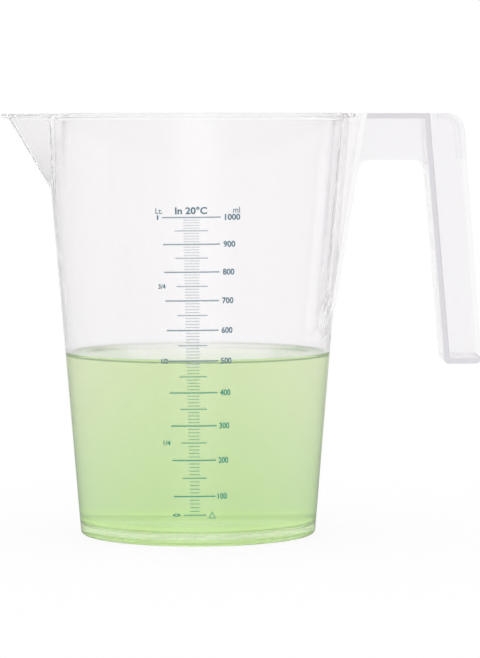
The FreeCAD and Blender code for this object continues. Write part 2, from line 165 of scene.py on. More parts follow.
studio_light = bpy.data.worlds.new("studio_light")
bpy.context.scene.world = studio_light
tree, world_output = fresh_tree(studio_light)
direction = add_node(tree, "ShaderNodeTexCoord")
sky = add_node(tree, "ShaderNodeBackground", {"Color": (1, 1, 1, 1)})
tree.links.new(level_by_direction(tree, direction.outputs["Generated"]), sky.inputs["Strength"])
tree.links.new(sky.outputs[0], world_output.inputs["Surface"])

paper = bpy.data.materials.new("white_paper")
tree, output = fresh_tree(paper)
paper_face = add_node(tree, "ShaderNodeBsdfDiffuse", {"Color": (paper_share, paper_share, paper_share, 1)})
paper_glow = add_node(tree, "ShaderNodeEmission")
paper_place = add_node(tree, "ShaderNodeTexCoord")
from_beaker = add_node(tree, "ShaderNodeVectorMath", operation="LENGTH")
outward = add_node(tree, "ShaderNodeVectorMath", operation="NORMALIZE")
tree.links.new(paper_place.outputs["Object"], from_beaker.inputs[0])
tree.links.new(paper_place.outputs["Object"], outward.inputs[0])
# Painted shadow: the paper's own glow is weaker right under the beaker.
shade = ramp(tree, from_beaker.outputs["Value"], painted_shadow_range, (painted_shadow_share, 1 - paper_share))
lit = combined(tree, "MULTIPLY", shade, level_by_direction(tree, outward.outputs["Vector"]))
tree.links.new(lit, paper_glow.inputs["Strength"])
both = add_node(tree, "ShaderNodeAddShader")
tree.links.new(paper_face.outputs[0], both.inputs[0])
tree.links.new(paper_glow.outputs[0], both.inputs[1])
tree.links.new(both.outputs[0], output.inputs["Surface"])

sweep_mesh = bpy.data.meshes.new("paper_sweep")
sweep_corners = [(-sweep_half, -sweep_half, 0), (sweep_half, -sweep_half, 0)]
sweep_corners += [(sweep_half, sweep_half, 0), (-sweep_half, sweep_half, 0)]
sweep_mesh.from_pydata(sweep_corners, [], [(0, 1, 2, 3)])
sweep_mesh.materials.append(paper)
placed("paper_sweep", sweep_mesh)

# ---------------------------------------------------------------------------
# The cup: injection-moulded polypropylene, 1.8 mm thick, widening from the foot to
# the mouth, with a flat flange round the mouth and a spout folded out of its wall.
# It stands on a ring round a floor that domes up in the middle.
# ---------------------------------------------------------------------------

rim_height = 168.0
base_radius = 47.0
mouth_radius = 61.0
wall = 1.8
wall_lean = (mouth_radius - base_radius) / rim_height
foot_height = 2.0
foot_width = 4.2
foot_round = 1.2
foot_inner_round = 0.5
floor_edge = 4.2
floor_dome = 1.6
floor_corner = 2.5
corner_end = -84
plain_top = 136.0
rim_underside = 166.4
rim_overhang = 2.6
rim_edge_round = 0.45
rim_fillet = 1.0
spout_nose = 76.4
spout_nose_soft = 2.0
spout_foot = 137.9
spout_root = 56.8
spout_lip = 2.2
spout_lip_share = 0.75
spout_give = 0.45
crease_blend = 1.1
crease_fade = 6.0
skin_depth = 0.01


def cup_radius(height):
    """Radius of the wall's outside: it grows in proportion to the height above the foot."""
    return base_radius + wall_lean * height


corner_centre = (cup_radius(floor_edge + floor_corner) - wall - floor_corner, floor_edge + floor_corner)


def spout_radius(turn, height, offset):
    """Distance from the axis to the spout's side, towards an angle measured from the spout.

    In plan each side is a straight line from the wall to the nose, and a hyperbola rounds the
    nose between the two lines. The ray from the axis meets it where a quadratic is zero. The
    nose slides in along a straight line from the rim down to the spout's foot.
    """
    rise = np.clip((height - spout_foot) / (rim_height - spout_foot), 0, None)
    nose = cup_radius(spout_foot) + (spout_nose - cup_radius(spout_foot)) * rise
    half_width = np.sqrt(cup_radius(np.maximum(height, spout_foot)) ** 2 - spout_root**2)
    slope = (nose - spout_root) / half_width
    soft = spout_nose_soft * slope
    corner = nose + slope * soft + offset * np.sqrt(1 + slope**2)
    a = np.cos(turn) ** 2 - slope**2 * np.sin(turn) ** 2
    b = corner * np.cos(turn)
    c = corner**2 - slope**2 * soft**2
    return c / (b + np.sqrt(np.maximum(b**2 - a * c, 0)))


def cup_surface(turn, height, offset):
    """Radius of the cup with its spout, towards an angle measured from the spout.

    Between its two roots the spout is used where it reaches further than the round wall, and
    past them it gives way in proportion to the distance. A parabola fills the crease between
    the two within a set gap, and fades out towards the spout's foot.
    """
    round_cup = cup_radius(height) + offset
    spout_share = np.where(offset > 0, spout_lip / rim_overhang * spout_lip_share, 1.0)
    gap = round_cup - spout_radius(turn, height, offset * spout_share)
    root_turn = np.arccos(spout_root / cup_radius(height))
    past_root = (np.abs(turn) - root_turn) * round_cup
    gap = np.where(past_root > 0, np.maximum(gap, past_root * spout_give), gap)
    gap = np.where(height > spout_foot, gap, 2 * crease_blend)
    blend = crease_blend * np.clip((height - spout_foot) / crease_fade, 0.01, 1)
    return round_cup - np.minimum(gap, 0) + np.clip(blend - np.abs(gap), 0, None) ** 2 / (4 * blend)


def quarter(center, radius, start, stop, count=6):
    """Points of an arc: the center plus the radius, turned from one angle to another in degrees."""
    angle = np.radians(np.linspace(start, stop, count))
    return np.stack([center[0] + radius * np.cos(angle), center[1] + radius * np.sin(angle)], 1)


def cup_profile():
    """The cup's section as (radius less that of the wall's outside, height).

    It starts under the middle of the floor and ends on top of it. It follows the dome's
    underside, the foot ring, the wall's outside, the flange, the wall's inside and the dome,
    with an arc at each edge.
    """
    ring_inside = base_radius - foot_width
    under = np.linspace(0, 1, 11)[1:, None] * [ring_inside, 0]
    under[:, 1] = foot_height + floor_dome * (1 - (under[:, 0] / ring_inside) ** 2)
    ring = np.concatenate(
        [
            quarter((ring_inside + foot_inner_round, foot_inner_round), foot_inner_round, 180, 270),
            quarter((base_radius - foot_round, foot_round), foot_round, 270, 360),
        ]
    )
    low = np.concatenate([under, ring])
    low[:, 0] -= cup_radius(low[:, 1])
    low[-1, 0] = 0
    spout_start = spout_foot - 0.8
    heights = np.concatenate([np.linspace(3, plain_top, 8), np.linspace(spout_start, 165, 30)])
    outside = np.stack([np.zeros_like(heights), heights], 1)
    fillet = quarter((rim_fillet, rim_underside - rim_fillet), rim_fillet, 180, 90)
    edge = rim_overhang - rim_edge_round
    flange = np.concatenate(
        [
            quarter((edge, rim_underside + rim_edge_round), rim_edge_round, 270, 360),
            quarter((edge, rim_height - rim_edge_round), rim_edge_round, 0, 90),
            quarter((rim_edge_round - wall, rim_height - rim_edge_round), rim_edge_round, 90, 180),
        ]
    )
    heights = np.concatenate(
        [np.linspace(166.6, spout_start, 32), np.linspace(plain_top, corner_centre[1], 8)]
    )
    inside = np.stack([np.full_like(heights, -wall), heights], 1)
    corner = quarter(corner_centre, floor_corner, 0, corner_end, 8)
    last = corner[-1, 0]
    dome = np.linspace(last, 0, 11)[1:-1, None] * [1, 0]
    dome[:, 1] = corner[-1, 1] + (floor_edge + floor_dome - corner[-1, 1]) * (1 - (dome[:, 0] / last) ** 2)
    high = np.concatenate([corner[1:], dome])
    high[:, 0] -= cup_radius(high[:, 1])
    return np.concatenate([low, outside, fillet, flange, inside, high])


def turned_mesh(name, places, low_pole, high_pole):
    """A closed mesh from a grid of points: first index round the axis, second along the section.

    Each square of the grid is one face, the first ring closes to a point below and the last
    ring to a point above.
    """
    turns, steps = places.shape[:2]
    here = np.arange(turns)[:, None] * steps + np.arange(steps)[None, :]
    there = np.roll(here, -1, axis=0)
    squares = np.stack([here[:, :-1], there[:, :-1], there[:, 1:], here[:, 1:]], -1).reshape(-1, 4)
    total = turns * steps
    low_fan = np.stack([there[:, 0], here[:, 0], np.full(turns, total)], 1)
    high_fan = np.stack([here[:, -1], there[:, -1], np.full(turns, total + 1)], 1)
    points = np.concatenate([places.reshape(-1, 3), [low_pole], [high_pole]]) * mm
    mesh = bpy.data.meshes.new(name)
    mesh.from_pydata(points.tolist(), [], squares.tolist() + low_fan.tolist() + high_fan.tolist())
    mesh.polygons.foreach_set("use_smooth", np.ones(len(mesh.polygons), bool))
    return mesh


def show(name, mesh, material):
    """A finished piece: the mesh as an object of that name, in its material, riding on the beaker."""
    piece = placed(name, mesh)
    mesh.materials.append(material)
    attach(piece, "root")
    return piece


# The columns stand closer together at the spout, and the skin lies a hair under the print.
section = cup_profile()
spread = np.linspace(-1, 1, 641)[:-1]
turn = math.pi * (0.45 * spread + 0.55 * spread**3)
radius = cup_surface(turn[:, None], section[None, :, 1], section[None, :, 0])
radius = np.maximum(radius - skin_depth, 0)
height = np.broadcast_to(section[None, :, 1], radius.shape)
cup_points = np.stack([-radius * np.cos(turn)[:, None], -radius * np.sin(turn)[:, None], height], -1)
cup_mesh = turned_mesh(
    "cup_shell", cup_points, (0, 0, foot_height + floor_dome), (0, 0, floor_edge + floor_dome)
)

# Cloudy plastic scatters the light that is trapped in it, which fills its edges with white. A weak
# painted glow of its surface stands in for that. The floor and the foot of the wall get painted
# green light from the liquid.
plastic_haze = 0.03
plastic_loss_tint = (0.60, 0.57, 0.63, 1)
flow_scale = 22.0
noise_range = (0.3, 0.7)
roughness_spread = 0.02
painted_floor_light = (0.90, 0.965, 0.79, 1)
painted_floor_light_top = 8.5
painted_wall_foot_light = (0.74, 0.92, 0.56, 1)
floor_side_high = 2.2
floor_side_depth = 0.8
cup_tone = (0.940, 0.931, 0.937, 1)
cup_grain = (0.932, 0.923, 0.930, 1)
cup_painted_glow = 0.033
cup_loss = 1.0
cup_roughness = 0.08


def lit_by_liquid(tree, place, colour):
    """The cup's colour by place, with painted green light from the liquid on the floor and on the wall's
    outside beside it.

    The floor's painted green goes by the height alone. The wall's goes by the height and by the distance
    from the axis.
    """
    # Painted green light on the cup's floor, fading out above it.
    low = height_ramp(tree, place, 0.8 * painted_floor_light_top, painted_floor_light_top, (1.0, 0.0))
    colour = blend(tree, low, colour, painted_floor_light)
    flat = add_node(tree, "ShaderNodeVectorMath", {1: (1, 1, 0)}, operation="MULTIPLY")
    reach = add_node(tree, "ShaderNodeVectorMath", operation="LENGTH")
    tree.links.new(place, flat.inputs[0])
    tree.links.new(flat.outputs["Vector"], reach.inputs[0])
    # Painted green light on the wall's outside, just beside the floor.
    outside = ((base_radius - wall) * mm, (base_radius - floor_side_depth) * mm)
    outer = ramp(tree, reach.outputs["Value"], outside)
    beside = height_ramp(tree, place, floor_edge, floor_edge + floor_side_high, (1.0, 0.0))
    return blend(tree, combined(tree, "MULTIPLY", outer, beside), colour, painted_wall_foot_light)


def plastic_material(name, tones, painted_glow, loss, roughness, tint=None):
    """Cloudy polypropylene with a faint flow pattern and a weak painted glow. A tint is a rule that changes
    its colour by place, such as painted light.
    """
    material = bpy.data.materials.new(name)
    tree, output = fresh_tree(material)
    place = add_node(tree, "ShaderNodeTexCoord").outputs["Object"]
    flow = add_node(tree, "ShaderNodeTexNoise", {"Scale": flow_scale, "Detail": 3.0, "Roughness": 0.5})
    tree.links.new(place, flow.inputs["Vector"])
    colour = blend(tree, flow.outputs[0], *tones)
    if tint:
        colour = tint(tree, place, colour)
    gloss_range = (roughness - roughness_spread, roughness + roughness_spread)
    gloss = ramp(tree, flow.outputs[0], noise_range, gloss_range)
    # The emission is a painted glow: it stands in for light scattered inside the plastic.
    moulded = add_node(
        tree,
        "ShaderNodeBsdfPrincipled",
        {"IOR": 1.49, "Transmission Weight": 1 - plastic_haze, "Emission Strength": painted_glow},
    )
    body_loss = add_node(tree, "ShaderNodeVolumeAbsorption", {"Color": plastic_loss_tint, "Density": loss})
    tree.links.new(gloss, moulded.inputs["Roughness"])
    tree.links.new(colour, moulded.inputs["Base Color"])
    tree.links.new(colour, moulded.inputs["Emission Color"])
    tree.links.new(moulded.outputs[0], output.inputs["Surface"])
    tree.links.new(body_loss.outputs[0], output.inputs["Volume"])
    return material


cup_tones = (cup_tone, cup_grain)
cup_plastic = plastic_material(
    "milky_polypropylene_with_painted_green_light", cup_tones, cup_painted_glow, cup_loss, cup_roughness, lit_by_liquid
)
cup_body = placed("cup_body", cup_mesh)

# ---------------------------------------------------------------------------
# The handle: moulded in one with the cup. Two cheeks stand on both sides of a web
# that runs down the wall, out under the rim and down the grip. The arm is open
# below, and the grip is open outward, with a foot that closes its lower end.
# ---------------------------------------------------------------------------

cheek = 1.8
root_half_width = 20.8
cheek_taper = 0.07
taper_start = 56.0

# The root's web leans in more below its bend, and it stops with its cheeks at root_end.
root_reach = 67.2
root_lean = 0.1668
root_bend = 92.0
root_end = 78.0
root_end_drop = 3.6
root_web_top = 2.4
root_web_low = 1.4

arm_underside = 149.6
arm_web = 2.0
grip_web = 2.1
grip_top = 89.7
grip_foot = 97.95
edge_top = 105.1
edge_foot = 112.7
handle_foot = 69.0
foot_wall = 2.1
foot_edge_lean = 0.17
bead_start = 95.0
bead_width = 2.0
bead_depth = 4.0
bead_low = 150.0
edge_softness = 0.35


def half_width(reach):
    """Half of the handle's width: it narrows in proportion to the distance from the cup."""
    return root_half_width - cheek_taper * (reach - taper_start)


def rounded(corners, radii, count=10):
    """A closed outline with an arc at each corner that has a radius.

    The arc touches both sides at a distance of radius divided by the tangent of half the
    corner's angle, and a ray from its centre sweeps from one touching point to the other.
    """
    corners = np.array(corners, float)
    result = []
    for before, here, after, radius in zip(np.roll(corners, 1, 0), corners, np.roll(corners, -1, 0), radii):
        if radius == 0:
            result.append(here[None])
            continue
        u = (before - here) / np.linalg.norm(before - here)
        v = (after - here) / np.linalg.norm(after - here)
        half = math.acos(float(np.clip(u @ v, -1, 1))) / 2
        middle = (u + v) / np.linalg.norm(u + v)
        center = here + middle * radius / math.sin(half)
        first = here + u * radius / math.tan(half) - center
        last = here + v * radius / math.tan(half) - center
        share = np.linspace(0, 1, count)[:, None]
        angle = math.pi - 2 * half
        arc = (np.sin((1 - share) * angle) * first + np.sin(share * angle) * last) / math.sin(angle)
        result.append(center + arc)
    return np.concatenate(result)


def slab(name, outline, near, far):
    """A solid from its outline in side view. A rule at each end gives y from x."""
    outline = np.array(outline, float)
    x, z = outline[:, 0], outline[:, 1]
    area = np.sum(x * np.roll(z, -1) - np.roll(x, -1) * z)
    if area < 0:
        x, z = x[::-1], z[::-1]
    count = len(x)
    places = np.concatenate([np.stack([x, near(x), z], 1), np.stack([x, far(x), z], 1)]) * mm
    ring = np.arange(count)
    after = np.roll(ring, -1)
    sides = np.stack([after, ring, ring + count, after + count], 1)
    mesh = bpy.data.meshes.new(name)
    mesh.from_pydata(places.tolist(), [], [ring.tolist(), (ring[::-1] + count).tolist()] + sides.tolist())
    return placed(name, mesh)


def made_mesh(thing):
    """A new mesh with what an object's modifiers or letters make."""
    bpy.context.view_layer.update()
    return bpy.data.meshes.new_from_object(thing.evaluated_get(bpy.context.evaluated_depsgraph_get()))


def apply_modifiers(solid):
    """Replaces an object's mesh by what its modifiers make of it."""
    shape = made_mesh(solid)
    solid.modifiers.clear()
    solid.data = shape


def join_solids(solid, other, operation):
    """Adds another solid to a solid, or takes it away, and drops the other."""
    step = solid.modifiers.new("join", "BOOLEAN")
    step.object = other
    step.operation = operation
    step.solver = "MANIFOLD"
    apply_modifiers(solid)
    bpy.data.objects.remove(other)


def root_face(z):
    """Outer face of the root's web: a straight line that nears the wall downward."""
    return root_reach - root_lean * (rim_height - z)


def grip_face(z):
    """Near face of the grip's web: a straight line from the rim to the handle's foot."""
    return grip_top + (grip_foot - grip_top) * (rim_height - z) / (rim_height - handle_foot)


def grip_edge(z):
    """Outer edge of the grip's cheeks: a straight line from the rim to the handle's foot."""
    return edge_top + (edge_foot - edge_top) * (rim_height - z) / (rim_height - handle_foot)


cheek_outline = rounded(
    [
        (40, rim_height),
        (40, root_end),
        (root_face(root_end) - root_end_drop, root_end),
        (root_face(root_bend), root_bend),
        (root_face(arm_underside), arm_underside),
        (grip_face(arm_underside), arm_underside),
        (grip_foot, handle_foot),
        (edge_foot, handle_foot),
        (edge_top, rim_height),
    ],
    [0, 0, 0, 0, 5.5, 5.1, 1.9, 2.3, 7],
)
handle = slab("handle", cheek_outline, lambda x: -half_width(x), lambda x: cheek - half_width(x))
far_cheek = slab("far_cheek", cheek_outline, lambda x: half_width(x) - cheek, lambda x: half_width(x))
arm_start = root_face(rim_height) - 1.2
arm_end = grip_top + 1
webs = {
    "arm_web": [
        (arm_start, rim_height),
        (arm_start, rim_height - arm_web),
        (arm_end, rim_height - arm_web),
        (arm_end, rim_height),
    ],
    "root_web": [
        (root_face(rim_height) - root_web_top, rim_height),
        (root_face(root_bend) - root_web_low, root_bend),
        (root_face(root_end) - root_end_drop - root_web_low, root_end),
        (root_face(root_end) - root_end_drop, root_end),
        (root_face(root_bend), root_bend),
        (root_face(rim_height), rim_height),
    ],
    "grip_web": rounded(
        [
            (grip_top, rim_height),
            (grip_foot, handle_foot),
            (edge_foot, handle_foot),
            (edge_foot - foot_edge_lean, handle_foot + foot_wall),
            (grip_foot + grip_web, handle_foot + foot_wall),
            (grip_top + grip_web, rim_height),
        ],
        [0, 1.9, 2.3, 0, 1.0, 0],
    ),
}
join_solids(handle, far_cheek, "UNION")
for name, outline in webs.items():
    web = slab(name, outline, lambda x: cheek / 2 - half_width(x), lambda x: half_width(x) - cheek / 2)
    join_solids(handle, web, "UNION")

bead_outline = rounded(
    [
        (bead_start, rim_height),
        (bead_start, rim_height - bead_width),
        (edge_top - bead_width, rim_height - bead_width),
        (grip_edge(bead_low) - bead_width, bead_low),
        (grip_edge(bead_low), bead_low),
        (edge_top, rim_height),
    ],
    [0, 0, 5, 0, 0, 7],
)


def bead_side(x, side, pick):
    """One end of a bead: in the middle of its cheek, or its depth inward from the cheek."""
    return pick(side * (half_width(x) - cheek / 2), side * (half_width(x) - cheek - bead_depth))


for side in (-1, 1):
    bead = slab(
        "bead",
        bead_outline,
        lambda x: bead_side(x, side, np.minimum),
        lambda x: bead_side(x, side, np.maximum),
    )
    join_solids(handle, bead, "UNION")

softened = handle.modifiers.new("soft_edges", "BEVEL")
softened.width = edge_softness * mm
softened.segments = 3
softened.limit_method = "ANGLE"
softened.angle_limit = math.radians(35)
apply_modifiers(handle)

# The cup takes the place of all that lies inside the middle of its wall, and inside its flange.
cut_low = 20.0
cut_top = rim_height + 5
flange_cut = mouth_radius + 2.5
cut_section = np.array(
    [
        (cup_radius(cut_low) - wall / 2, cut_low),
        (cup_radius(rim_underside) - wall / 2, rim_underside),
        (flange_cut, rim_underside + 0.05),
        (flange_cut, cut_top),
    ]
)


def round_points(section, columns):
    """The points of a section of (radius, height), turned round the axis in equal steps."""
    turn = np.linspace(0, 2 * math.pi, columns + 1)[:-1]
    x = np.cos(turn)[:, None] * section[:, 0]
    y = np.sin(turn)[:, None] * section[:, 0]
    return np.stack([x, y, np.broadcast_to(section[:, 1], x.shape)], -1)


cutter_mesh = turned_mesh("cup_cutter", round_points(cut_section, 256), (0, 0, cut_low), (0, 0, cut_top))
join_solids(handle, placed("cup_cutter", cutter_mesh), "DIFFERENCE")
handle.data.polygons.foreach_set("use_smooth", np.zeros(len(handle.data.polygons), bool))

# The root is one with the cup. The arm and the grip start at the root web's outer face.
seam = 0.01
block_low = 20.0
block_high = 180.0
block_half = 40.0
block_far = 140.0
handle_tone = (0.975, 0.968, 0.974, 1)
handle_grain = (0.967, 0.960, 0.967, 1)
# The handle's painted glow, for light scattered in its plastic, is weaker than the cup's.
handle_painted_glow = 0.012
handle_loss = 20.0
handle_roughness = 0.10
handle_tones = (handle_tone, handle_grain)
polypropylene = plastic_material(
    "milky_polypropylene", handle_tones, handle_painted_glow, handle_loss, handle_roughness
)


def root_side(name, shift, far):
    """A block on one side of the root web's outer face, moved off it by a shift."""
    outline = [
        (root_face(block_high) + shift, block_high),
        (root_face(block_low) + shift, block_low),
        (far, block_low),
        (far, block_high),
    ]
    return slab(name, outline, lambda x: 0 * x - block_half, lambda x: 0 * x + block_half)


grip_part = placed("grip_part", handle.data.copy())
join_solids(grip_part, root_side("inner_side", seam, 0), "DIFFERENCE")
join_solids(handle, root_side("outer_side", 0, block_far), "DIFFERENCE")
join_solids(cup_body, handle, "UNION")


def kept_mesh(solid):
    """The mesh of a helper solid, which is then dropped, with no material on it."""
    mesh = solid.data.copy()
    bpy.data.objects.remove(solid)
    mesh.materials.clear()
    return mesh


cup_shell = show("cup_shell", kept_mesh(cup_body), cup_plastic)
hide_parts("cup_wall", "cup_floor", "foot_ring", "rim_flange", "pour_spout", "handle_root")
channel_handle = show("channel_handle", kept_mesh(grip_part), polypropylene)
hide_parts("handle_arm", "handle_grip")

# ---------------------------------------------------------------------------
# The printed scale: blue ink, screen-printed on the front of the wall. The long
# lines stand at every 100 ml, shorter ones at every 50 ml, and fine ones between.
# ---------------------------------------------------------------------------

# Painted light: below the liquid's level the ink turns teal, and the thin colours stand in for what shines
# through the ink.
ink_high = (0.050, 0.150, 0.220, 1)
ink_low = (0.005, 0.280, 0.200, 1)
painted_see_through_high = (0.800, 0.820, 0.840, 1)
painted_see_through_low = (0.500, 0.680, 0.400, 1)
teal_top = 68.0
blue_start = 71.5
scale_foot = 12.0
scale_top = 128.0
ink_grain = 900.0


def ink_material(name, strength_low, strength_high):
    """Ink that turns from steel blue to teal where the green liquid stands behind it, as painted light.

    Its strength is given at the foot and at the top of the scale: a thin print lets through more
    of what lies behind it, which is painted into its colour.
    """
    material = bpy.data.materials.new(name)
    tree, output = fresh_tree(material)
    place = add_node(tree, "ShaderNodeTexCoord").outputs["Object"]
    grain = add_node(tree, "ShaderNodeTexNoise", {"Scale": ink_grain, "Detail": 3.0})
    tree.links.new(place, grain.inputs["Vector"])
    behind = height_ramp(tree, place, teal_top, blue_start)
    strength = height_ramp(tree, place, scale_foot, scale_top, (strength_low, strength_high))
    speckle = ramp(tree, grain.outputs[0], noise_range, (0.85, 1.0))
    # Painted light from the green liquid behind the ink.
    full = blend(tree, behind, ink_low, ink_high)
    thin = blend(tree, behind, painted_see_through_low, painted_see_through_high)
    tone = blend(tree, combined(tree, "MULTIPLY", strength, speckle), thin, full)
    film = add_node(tree, "ShaderNodeBsdfPrincipled", {"Roughness": 0.4})
    tree.links.new(tone, film.inputs["Base Color"])
    tree.links.new(film.outputs[0], output.inputs["Surface"])
    return material


scale_ink = ink_material("blue_scale_ink", 1.0, 1.0)
line_inks = {
    "major_lines": ink_material("major_line_ink", 0.95, 0.72),
    "medium_lines": ink_material("medium_line_ink", 0.85, 0.50),
    "minor_lines": ink_material("minor_line_ink", 0.75, 0.25),
}
for name, ink in line_inks.items():
    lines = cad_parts[name]
    lines.data.materials.clear()
    lines.data.materials.append(ink)

# ---------------------------------------------------------------------------
# The volume numbers: the same ink, one number at the right end of each long line,
# from 100 to 1000 ml. The whole print leans by half a degree.
# ---------------------------------------------------------------------------

print_tilt = math.radians(0.53)
print_shift = -0.47
ink_thickness = 0.1
floor_loss = math.pi * (cup_radius(floor_edge) - wall) ** 2 * floor_dome / 2


def mark_height(volume):
    """Height at which the cup holds a volume in ml: the cube of its radius grows with the volume."""
    low = cup_radius(floor_edge) - wall
    high = (low**3 + 3 * wall_lean / math.pi * (volume * 1000 + floor_loss)) ** (1 / 3)
    return (high - (base_radius - wall)) / wall_lean


def on_the_wall(flat_x, flat_z, lift):
    """Wraps the flat print on the front: turned by its lean, then carried straight back to the cone."""
    x = flat_x * math.cos(print_tilt) - flat_z * math.sin(print_tilt) + print_shift
    z = flat_x * math.sin(print_tilt) + flat_z * math.cos(print_tilt)
    return np.stack([x, -np.sqrt((cup_radius(z) + lift) ** 2 - x**2), z], -1)


def printed_words(words, left, right, low, high, weight=0.0):
    """The faces of a word, stretched over a flat box and wrapped on the wall as a thin film of ink."""
    letters = bpy.data.curves.new("letters", "FONT")
    letters.body = words
    letters.extrude = 0.5
    letters.offset = weight
    letters.resolution_u = 4
    holder = placed("letters", letters)
    shape = made_mesh(holder)
    welded = bmesh.new()
    welded.from_mesh(shape)
    bmesh.ops.remove_doubles(welded, verts=welded.verts, dist=1e-5)
    welded.to_mesh(shape)
    welded.free()
    places = np.zeros(len(shape.vertices) * 3)
    shape.vertices.foreach_get("co", places)
    places = places.reshape(-1, 3)
    lowest, highest = places.min(0), places.max(0)
    share = (places - lowest) / (highest - lowest)
    flat_x = left + share[:, 0] * (right - left)
    flat_z = low + share[:, 1] * (high - low)
    film = on_the_wall(flat_x, flat_z, share[:, 2] * ink_thickness)
    faces = [list(face.vertices) for face in shape.polygons]
    bpy.data.objects.remove(holder)
    bpy.data.curves.remove(letters)
    bpy.data.meshes.remove(shape)
    return film, faces


def printed_piece(name, words):
    """One piece of print: several words joined in one mesh, in ink."""
    films, faces, count = [], [], 0
    for film, film_faces in words:
        films.append(film)
        faces += [[corner + count for corner in face] for face in film_faces]
        count += len(film)
    mesh = bpy.data.meshes.new(name)
    mesh.from_pydata((np.concatenate(films) * mm).tolist(), [], faces)
    show(name, mesh, scale_ink)


# The numbers grow upward, and drift to the right with the wall's own widening.
number_half = 1.2
number_low = 20.0
number_rise = 98.0
number_left = 8.9
number_drift = 3.35
number_width = 3.6
number_growth = 0.9
four_digit_shift = 0.3
four_digit_width = 1.28
number_weight = 0.03

numbers = []
for volume in range(100, 1001, 100):
    height = mark_height(volume)
    rise = (height - number_low) / number_rise
    left = number_left + number_drift * rise
    width = number_width + number_growth * rise
    if volume >= 1000:
        left += four_digit_shift
        width *= four_digit_width
    box = (left, left + width, height - number_half, height + number_half)
    numbers.append(printed_words(str(volume), *box, number_weight))
printed_piece("volume_numbers", numbers)

# ---------------------------------------------------------------------------
# The litre fractions: smaller print at the left of the scale, at each quarter litre
# from 1/4 up to 1.
# ---------------------------------------------------------------------------

# Each stands with its volume in ml, its left and right end, half its height and its weight.
fractions = []
for words, volume, left, right, half, weight in (
    ("1", 1000, -13.2, -12.6, 0.90, 0.0),
    ("3/4", 750, -13.0, -10.2, 0.95, 0.03),
    ("1/2", 500, -12.3, -9.6, 0.95, 0.05),
    ("1/4", 250, -11.8, -9.15, 0.95, 0.03),
):
    height = mark_height(volume)
    fractions.append(printed_words(words, left, right, height - half, height + half, weight))
printed_piece("litre_fractions", fractions)

# ---------------------------------------------------------------------------
# The headings: litres above the left column, millilitres above the right one, and the
# filling temperature between the two.
# ---------------------------------------------------------------------------

headings = [
    printed_words("In 20°C", -6.17, 6.17, 129.35, 132.25, 0.03),
    printed_words("Lt.", -13.7, -11.03, 129.6, 131.8, 0.01),
    printed_words("ml", 16.07, 18.7, 129.75, 132.0, 0.01),
]
printed_piece("unit_headings", headings)

# ---------------------------------------------------------------------------
# The foot marks: a small open oval and a small open triangle beside the lowest line.
# They stand for two printed signs that are too small to read.
# ---------------------------------------------------------------------------


def ink_ring(corners, weight):
    """An outline of ink: a closed band from the corners to the same corners drawn in to the middle."""
    corners = np.array(corners, float)
    middle = corners.mean(0)
    inner = middle + (corners - middle) * (1 - weight)
    count = len(corners)
    flat = np.concatenate([corners, inner])
    low = on_the_wall(flat[:, 0], flat[:, 1], 0.0)
    high = on_the_wall(flat[:, 0], flat[:, 1], ink_thickness)
    ring = np.arange(count)
    after = np.roll(ring, -1)
    top = np.stack([ring, after, after + count, ring + count], 1)
    bottom = top[:, ::-1]
    outer = np.stack([ring, after, after + 2 * count, ring + 2 * count], 1)
    inner_side = np.stack([after, ring, ring + 2 * count, after + 2 * count], 1) + count
    faces = np.concatenate([top + 2 * count, bottom, outer, inner_side])
    return np.concatenate([low, high]), faces.tolist()


mark_half_width = 1.5
triangle_middle = 6.7
triangle_half_height = 1.4
oval_middle = -7.1
oval_half_height = 0.6

lowest = mark_height(50)
triangle = [
    (triangle_middle - mark_half_width, lowest - triangle_half_height),
    (triangle_middle + mark_half_width, lowest - triangle_half_height),
    (triangle_middle, lowest + triangle_half_height),
]
oval_turn = np.linspace(0, 2 * math.pi, 25)[:-1]
oval_x = oval_middle + mark_half_width * np.cos(oval_turn)
oval = np.stack([oval_x, lowest + oval_half_height * np.sin(oval_turn)], 1)
printed_piece("foot_marks", [ink_ring(triangle, 0.3), ink_ring(oval, 0.5)])

# ---------------------------------------------------------------------------
# The liquid: half a litre of water with a clear green dye. It wets the wall, so its
# surface curls up about a millimetre where it meets the plastic.
# ---------------------------------------------------------------------------

liquid_level = 72.0
curl_height = 1.1
curl_reach = 1.5
wetting = 0.1
liquid_loss = 8.9
liquid_loss_tint = (0.557, 0.824, 0.04, 1)
painted_shade_green = (0.79, 0.93, 0.71, 1)
painted_shade_full = 14.0
painted_shade_end = 66.0
floor_clear_low = 6.0
floor_clear_high = 7.5


def liquid_profile():
    """Section of the liquid as (radius, height).

    It runs along the floor, up the wall and back along the surface. The surface rises towards
    the wall by an exponential of the distance from the wall.
    """
    corner = quarter(corner_centre, floor_corner + wetting, corner_end, 0, 8)
    first = corner[0, 0]
    bottom = np.linspace(0, first, 14)[1:-1, None] * [1, 0]
    dome_top = floor_edge + floor_dome
    bottom[:, 1] = corner[0, 1] + (dome_top - corner[0, 1]) * (1 - (bottom[:, 0] / first) ** 2)
    heights = np.linspace(corner_centre[1] + 1, liquid_level + curl_height, 40)
    side = np.stack([cup_radius(heights) - wall + wetting, heights], 1)
    away = np.concatenate([np.linspace(wetting, 3, 16), np.linspace(3.5, 12, 10)])
    contact = side[-1, 0]
    curl_rise = curl_height * np.exp(-(away - wetting) / curl_reach)
    curl = np.stack([contact - away, liquid_level + curl_rise], 1)
    surface = np.linspace(contact - 13, 4, 8)[:, None] * [1, 0] + [0, liquid_level]
    return np.concatenate([bottom, corner, side, curl, surface])


